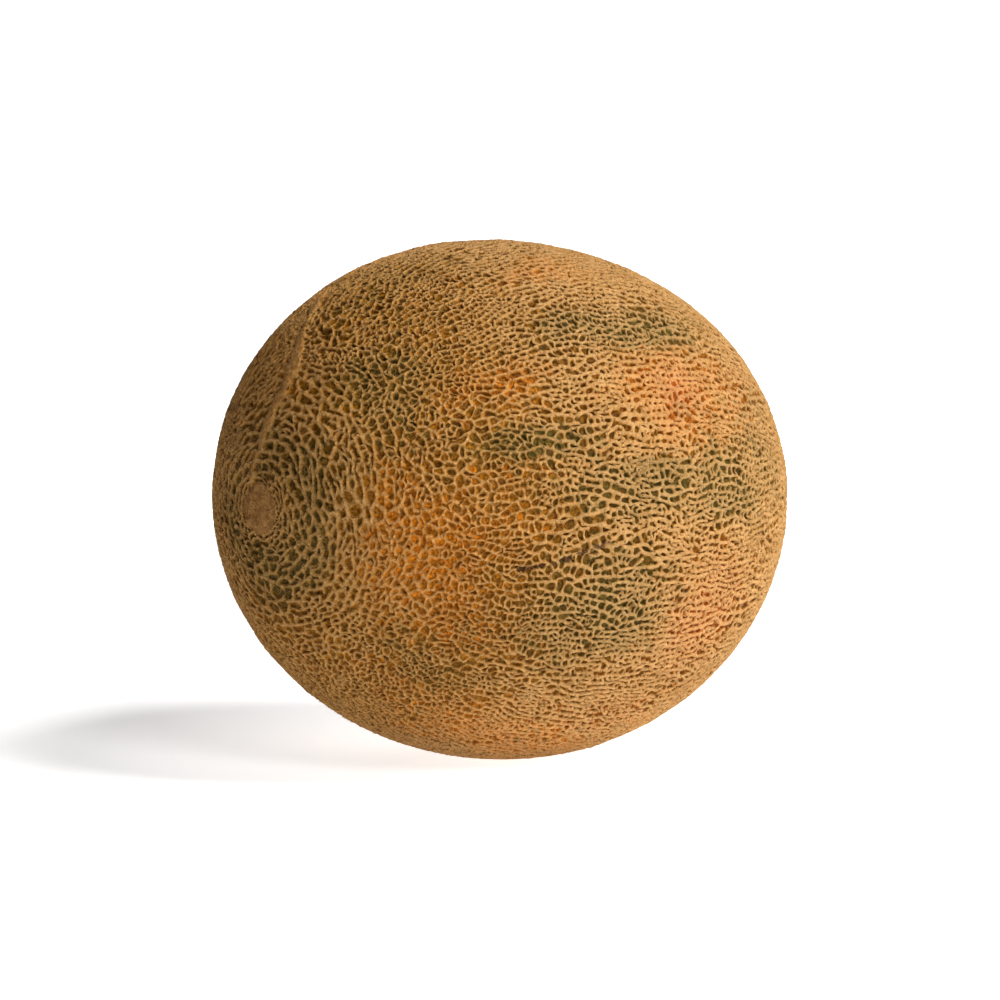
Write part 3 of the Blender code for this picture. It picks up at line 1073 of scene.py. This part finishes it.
def skin_colour(tree):
    """The colour of the skin between the cords, and how green it is."""
    riper = calculate(tree, "ADD", measure(tree, "orange"), grain(tree, "orange edge"))
    greener = calculate(tree, "ADD", measure(tree, "green"), grain(tree, "green edge"))
    green_share = spread(tree, greener, *GREEN_FROM_TO)
    skin = mix(tree, spread(tree, riper, *ORANGE_FROM_TO), OLIVE, ORANGE)
    skin = mix(tree, measure(tree, "red"), skin, RED)
    skin = mix(tree, green_share, skin, DARK_GREEN)

    tone = spread(tree, measure(tree, "tone"), 0, 1, *HOLE_TONES)
    tone = times(tree, tone, grain(tree, "skin"))
    skin_value = add_node(tree, "ShaderNodeCombineColor")
    for channel in range(3):
        tree.links.new(tone, skin_value.inputs[channel])
    return mix(tree, 1.0, skin, skin_value.outputs["Color"], "MULTIPLY"), green_share


skin, green_share = skin_colour(rind.node_tree)
print(len(rind.node_tree.nodes), "nodes with the skin")

# %% [markdown]
# ## The dry cork
#
# Cork is dry and tan.  The high crests get a lighter tan, a painted highlight that makes the
# cords look round.  Blotches and pores of a darker cork break it up.  A thin layer of cork
# could be made see-through, but mixing in some of the skin's colour does the same and is
# quicker to render: a third or so everywhere, more in orange and in green patches, and most
# in small pits.  The scars have a browner cork.

# %% The cork's colour
# The lightest cork colour is a painted highlight along the crests of the cords.
CORK_HIGHLIGHT = (0.690, 0.415, 0.170)
CORK = (0.470, 0.238, 0.062)
CORK_DARK = (0.250, 0.104, 0.018)
SCAR_CORK = (0.300, 0.150, 0.045)
SCAR_DARK = (0.140, 0.056, 0.016)
BLOTCH_SHARE, PORE_SHARE, PIT_SHARE, SCAR_SHARE = 0.30, 0.45, 0.7, 0.9
SKIN_THROUGH = (0.32, 0.45)  # how much skin shows through, elsewhere and in orange patches
GREEN_THROUGH = 0.18
SCAR_GRAIN, SCAR_GRAIN_FROM_TO = (420, 5, 0.8), (0.42, 0.62)


def cork_colour(tree, skin, green_share, pits):
    """The colour of the cords and the scars."""
    # Painted highlight: the cork is lighter on the crests.
    cork = mix(tree, measure(tree, "crest"), CORK, CORK_HIGHLIGHT)
    for name, darker in (("blotches", BLOTCH_SHARE), ("pores", PORE_SHARE)):
        cork = mix(tree, times(tree, grain(tree, name), darker), cork, CORK_DARK)
    cork = mix(tree, spread(tree, measure(tree, "orange"), 0, 1, *SKIN_THROUGH), cork, skin)
    cork = mix(tree, times(tree, green_share, GREEN_THROUGH), cork, skin)
    cork = mix(tree, times(tree, pits, PIT_SHARE), cork, skin)
    scar_grain = spread(tree, noise(tree, *SCAR_GRAIN), *SCAR_GRAIN_FROM_TO)
    scar = mix(tree, scar_grain, SCAR_CORK, SCAR_DARK)
    return mix(tree, times(tree, measure(tree, "smooth_cork"), SCAR_SHARE), cork, scar)


pits = grain(rind.node_tree, "pits")
cork_look = cork_colour(rind.node_tree, skin, green_share, pits)
print(len(rind.node_tree.nodes), "nodes with the cork")

# %% [markdown]
# ## Two materials in one
#
# Cork and skin are different stuff.  Two materials would meet in a hard, toothed line along
# the faces, so one material holds both, and the share of cork at each point mixes them.
# Near the blossom scar a small net adds young cords that are too thin to be shaped.  The
# slope of `near_crack` is made rough by noise and cut to a thin dark line.  The skin is a
# little smoother than the cork, and neither shines much.  A bump adds only what is finer
# than the mesh: the grain, the pits and the young cords.

# %% The whole rind
CRACK_COLOUR = (0.050, 0.020, 0.010)
CORK_FROM_TO = (0.40, 0.95)
YOUNG_NET, YOUNG_EDGE = 560, (0.02, 0.16)
YOUNG_SHARE, YOUNG_BUMP, PIT_BUMP = 0.6, 0.7, 0.5
CORK_GRAIN = (2600, 3)
CRACK_CUT, CRACK_SHARE = (0.84, 0.95), 0.85
SKIN_ROUGHNESS, CORK_ROUGHNESS = 0.50, 0.80
GLOSS = 0.045
BUMP_STRENGTH, BUMP_DISTANCE = 0.9, 0.4 * MM


def edges(tree, scale):
    """1 along the lines of a small net in the object's own space, 0 in its cells."""
    where = add_node(tree, "ShaderNodeTexCoord").outputs["Object"]
    net = add_node(tree, "ShaderNodeTexVoronoi", feature="DISTANCE_TO_EDGE", inputs={
        "Scale": scale,
    })
    tree.links.new(where, net.inputs["Vector"])
    return spread(tree, net.outputs["Distance"], *YOUNG_EDGE, 1.0, 0.0)


def finish_rind(tree):
    """Mix the skin and the cork, and give the shader its colour, roughness and bump."""
    shader = tree.nodes["Principled BSDF"]
    young_cords = times(tree, edges(tree, YOUNG_NET), grain(tree, "young patches"))
    young_cords = times(tree, young_cords, measure(tree, "young"))
    share = spread(tree, measure(tree, "cork"), *CORK_FROM_TO)
    share = calculate(tree, "MAXIMUM", share, times(tree, young_cords, YOUNG_SHARE))
    colour = mix(tree, share, skin, cork_look)

    crack = calculate(tree, "ADD", measure(tree, "near_crack"), grain(tree, "crack edge"))
    crack = times(tree, spread(tree, crack, *CRACK_CUT), CRACK_SHARE)
    tree.links.new(mix(tree, crack, colour, CRACK_COLOUR), shader.inputs["Base Color"])
    roughness = spread(tree, share, 0, 1, SKIN_ROUGHNESS, CORK_ROUGHNESS)
    tree.links.new(roughness, shader.inputs["Roughness"])
    shader.inputs["Specular IOR Level"].default_value = GLOSS

    relief = times(tree, noise(tree, *CORK_GRAIN), share)
    relief = calculate(tree, "ADD", relief, times(tree, young_cords, YOUNG_BUMP))
    relief = calculate(tree, "SUBTRACT", relief, times(tree, pits, PIT_BUMP))
    bump = add_node(tree, "ShaderNodeBump", inputs={
        "Strength": BUMP_STRENGTH, "Distance": BUMP_DISTANCE,
    })
    tree.links.new(relief, bump.inputs["Height"])
    tree.links.new(bump.outputs["Normal"], shader.inputs["Normal"])


finish_rind(rind.node_tree)
print(len(rind.node_tree.nodes), "nodes in the whole rind")

# %% [markdown]
# ## Six pieces
#
# A single mesh of nearly nine hundred thousand triangles is clumsy.  The skin is cut along
# cell borders into six pieces, the way a cube's six sides would look if they were blown up
# onto a ball.  A cell goes to the side that its middle faces.  Cut lines run along crests,
# so the pieces meet point to point.

# %% Choose a side for every cell
SIDES = (  # name and main axis; two sides an axis, the low one first
    ("rind_blossom_end", 0),
    ("rind_stem_end", 0),
    ("rind_near", 1),
    ("rind_far", 1),
    ("rind_underside", 2),
    ("rind_top", 2),
)
squared = (points - shift) / [LENGTH, GIRTH, GIRTH]


def side_of(position):
    """Number of the side that each position belongs to."""
    axis = np.argmax(np.abs(position), axis=1)
    return axis * 2 + (position[np.arange(len(position)), axis] > 0)


cell_side = side_of(squared[middles])
quad_side = cell_side[ring_owner[built]]
triangle_side = cell_side[np.tile(ring_cell[built_corners], len(slopes_and_floors))]
triangle_side = np.append(triangle_side, side_of(squared[[fan[2] for fan in pole_fans]]))
print("cells on each side:", np.bincount(cell_side))

# %% [markdown]
# ## Building a mesh from arrays
#
# Adding so many faces one by one would take minutes.  Blender's meshes can take whole
# arrays instead: all points, all face corners and where each face starts.  The piece then
# gets the shared normals, the measures, and a flat map for textures: two angles from the
# middle of its side.

# %% Build the six meshes
FLAT_MAP_SHARE = 0.46  # half a side fills this much of the flat map


def build_piece(name, number, axis):
    """A mesh object from the faces of one side."""
    own_quads, own_triangles = quads[quad_side == number], triangles[triangle_side == number]
    corners_used = np.concatenate([own_quads.ravel(), own_triangles.ravel()])
    used, corner_points = np.unique(corners_used, return_inverse=True)
    sizes = np.concatenate([np.full(len(own_quads), 4), np.full(len(own_triangles), 3)])

    mesh = bpy.data.meshes.new(name)
    mesh.vertices.add(len(used))
    mesh.vertices.foreach_set("co", points[used].ravel())
    mesh.loops.add(len(corners_used))
    mesh.loops.foreach_set("vertex_index", corner_points.ravel())
    mesh.polygons.add(len(sizes))
    mesh.polygons.foreach_set("loop_start", np.cumsum(sizes) - sizes)
    mesh.update(calc_edges=True)
    mesh.shade_smooth()
    mesh.normals_split_custom_set_from_vertices(normals[used])

    for measure_name, values in measures.items():
        stored = mesh.attributes.new(measure_name, "FLOAT", "POINT")
        stored.data.foreach_set("value", values[used].astype(np.float32))

    main = np.abs(squared[used, axis])
    across = [other for other in range(3) if other != axis]
    angles = np.arctan2(squared[used][:, across], main[:, None])
    flat = angles / (math.pi / 4) * FLAT_MAP_SHARE + 0.5
    layer = mesh.uv_layers.new(name="OFBake")
    layer.data.foreach_set("uv", flat[corner_points.ravel()].ravel())

    piece = bpy.data.objects.new(name, mesh)
    bpy.context.scene.collection.objects.link(piece)
    mesh.materials.append(rind)
    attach(piece, "root")
    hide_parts("melon")
    return piece


for number, (name, axis) in enumerate(SIDES):
    piece = build_piece(name, number, axis)
    print(f"{name}: {sum(len(face.vertices) - 2 for face in piece.data.polygons)} triangles")

# %% [markdown]
# ## The floor
#
# The melon lies on a plain pale floor that curves up into a backdrop, so there is no
# horizon.  A studio hangs a roll of paper for this.  Two flat planes would show a corner, so
# here it is a strip of faces that runs level, bends up through a quarter circle and ends in
# a wall.  It is turned to face the camera, so its own x axis runs from left to right.

# %% Floor and backdrop in one sweep
CAMERA_AZIMUTH = math.radians(-44)
FLOOR_HALF_WIDTH = 2.5
FLOOR_FRONT = -2.5
FLOOR_BACK = 1.2
SWEEP_RADIUS = 0.8
SWEEP_STEPS = 24
WALL_HEIGHT = 2.4


def make_floor(facing):
    """A sheet that runs back from the camera and curves up, turned to face it."""
    profile = [(FLOOR_FRONT, 0.0)]
    for step in range(SWEEP_STEPS + 1):
        angle = step / SWEEP_STEPS * math.pi / 2
        back = FLOOR_BACK + SWEEP_RADIUS * math.sin(angle)
        profile.append((back, SWEEP_RADIUS * (1 - math.cos(angle))))
    profile.append((FLOOR_BACK + SWEEP_RADIUS, WALL_HEIGHT))
    verts = [(side * FLOOR_HALF_WIDTH, back, up) for side in (-1, 1) for back, up in profile]
    count = len(profile)
    faces = [(n, count + n, count + n + 1, n + 1) for n in range(count - 1)]
    mesh = bpy.data.meshes.new("floor")
    mesh.from_pydata(verts, [], faces)
    mesh.shade_smooth()
    floor = bpy.data.objects.new("floor", mesh)
    floor.rotation_euler.z = facing
    bpy.context.scene.collection.objects.link(floor)
    floor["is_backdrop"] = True
    return floor


floor = make_floor(CAMERA_AZIMUTH)
print(len(floor.data.polygons), "faces in the floor")

# %% [markdown]
# ## Glowing paper
#
# A fruit on white paper gets much of its light from the paper.  Plain paper would light it
# from both sides alike.  This paper glows by itself: more on the side of the main light,
# less on the other, which lets the left side of the melon fall into shade and leaves a soft
# shadow there.  Far from the melon it glows evenly, so that the backdrop stays pale.

# %% The paper's material
PAPER = (0.90, 0.90, 0.90, 1)
PAPER_ROUGHNESS = 0.9
GLOW_LEFT_RIGHT = (0.34, 1.25)
GLOW_FROM_TO = (-0.12, 0.08)  # metres from left to right
FAR_GLOW = 1.0
FAR_FROM_TO = (0.5, 1.2)  # metres from the melon


def make_paper():
    """Pale paper that glows, by place."""
    paper = bpy.data.materials.new("pale paper")
    paper.use_nodes = True
    tree = paper.node_tree
    shader = tree.nodes["Principled BSDF"]
    shader.inputs["Base Color"].default_value = PAPER
    shader.inputs["Roughness"].default_value = PAPER_ROUGHNESS
    shader.inputs["Emission Color"].default_value = (1, 1, 1, 1)
    where = add_node(tree, "ShaderNodeTexCoord").outputs["Object"]
    split = add_node(tree, "ShaderNodeSeparateXYZ")
    away = add_node(tree, "ShaderNodeVectorMath", operation="LENGTH")
    tree.links.new(where, split.inputs["Vector"])
    tree.links.new(where, away.inputs[0])
    table_glow = spread(tree, split.outputs["X"], *GLOW_FROM_TO, *GLOW_LEFT_RIGHT)
    far_glow = spread(tree, away.outputs["Value"], *FAR_FROM_TO, 0.0, FAR_GLOW)
    glow = calculate(tree, "MAXIMUM", table_glow, far_glow)
    tree.links.new(glow, shader.inputs["Emission Strength"])
    return paper


floor.data.materials.append(make_paper())
print("The paper glows {} near the melon's left and {} near its right.".format(*GLOW_LEFT_RIGHT))

# %% [markdown]
# ## The camera
#
# A wide lens close by would swell the near side, so this is a long lens, two thirds of a
# metre away.  The camera looks at the melon's middle from a few degrees above the table,
# with the blossom end turned to the left.  A small shift of the lens centres the fruit.

# %% Camera
CAMERA_HEIGHT_ANGLE = math.radians(3)
CAMERA_DISTANCE = 0.6628
LENS = 85
SHIFT_X, SHIFT_Y = -0.0038, -0.0041

melon_middle = Vector(shift)


def seen_from(azimuth, height_angle, distance):
    """A place around the melon's middle: azimuth 0 is the -Y side, and it grows toward +X."""
    level = math.cos(height_angle)
    toward = Vector((math.sin(azimuth) * level, -math.cos(azimuth) * level, math.sin(height_angle)))
    return melon_middle + toward * distance


def look_at(thing, target):
    """Turn a camera or a light so that it faces a point."""
    thing.rotation_euler = (target - thing.location).to_track_quat("-Z", "Y").to_euler()


camera_data = bpy.data.cameras.new("camera")
camera_data.lens = LENS
camera_data.shift_x = SHIFT_X
camera_data.shift_y = SHIFT_Y
camera = bpy.data.objects.new("camera", camera_data)
camera.location = seen_from(CAMERA_AZIMUTH, CAMERA_HEIGHT_ANGLE, CAMERA_DISTANCE)
look_at(camera, melon_middle)
bpy.context.scene.collection.objects.link(camera)
bpy.context.scene.camera = camera
print("camera at", np.round(camera.location, 3), "m")

# %% [markdown]
# ## The lights
#
# A large soft light stands high on the right and gives the fruit its form.  A small lamp
# would do that too, but with hard shadows in every hole of the net.  A second, much weaker
# light in front keeps the left side readable.  The world outside is white to the camera
# only, so that it fills the view and doesn't wash the shadows out.

# %% Lights and the white around them
LIGHTS = (  # name, degrees right of the camera, degrees up, distance, size, power in watts
    ("key", 64, 49, 1.4, 0.5, 26.8),
    ("front", 24, 32, 1.4, 0.4, 8.1),
)


def make_light(name, turn, rise, distance, size, power):
    """A large soft square light that faces the melon."""
    data = bpy.data.lights.new(name, "AREA")
    data.size = size
    data.energy = power
    light = bpy.data.objects.new(name, data)
    light.location = seen_from(CAMERA_AZIMUTH + math.radians(turn), math.radians(rise), distance)
    look_at(light, melon_middle)
    bpy.context.scene.collection.objects.link(light)
    print(name, "light at", np.round(light.location, 2), "m")


for light in LIGHTS:
    make_light(*light)

world = bpy.data.worlds.new("studio")
world.use_nodes = True
background = world.node_tree.nodes["Background"]
background.inputs["Color"].default_value = (1, 1, 1, 1)
to_camera = add_node(world.node_tree, "ShaderNodeLightPath").outputs["Is Camera Ray"]
world.node_tree.links.new(to_camera, background.inputs["Strength"])
bpy.context.scene.world = world
bpy.context.scene.view_settings.view_transform = "Standard"
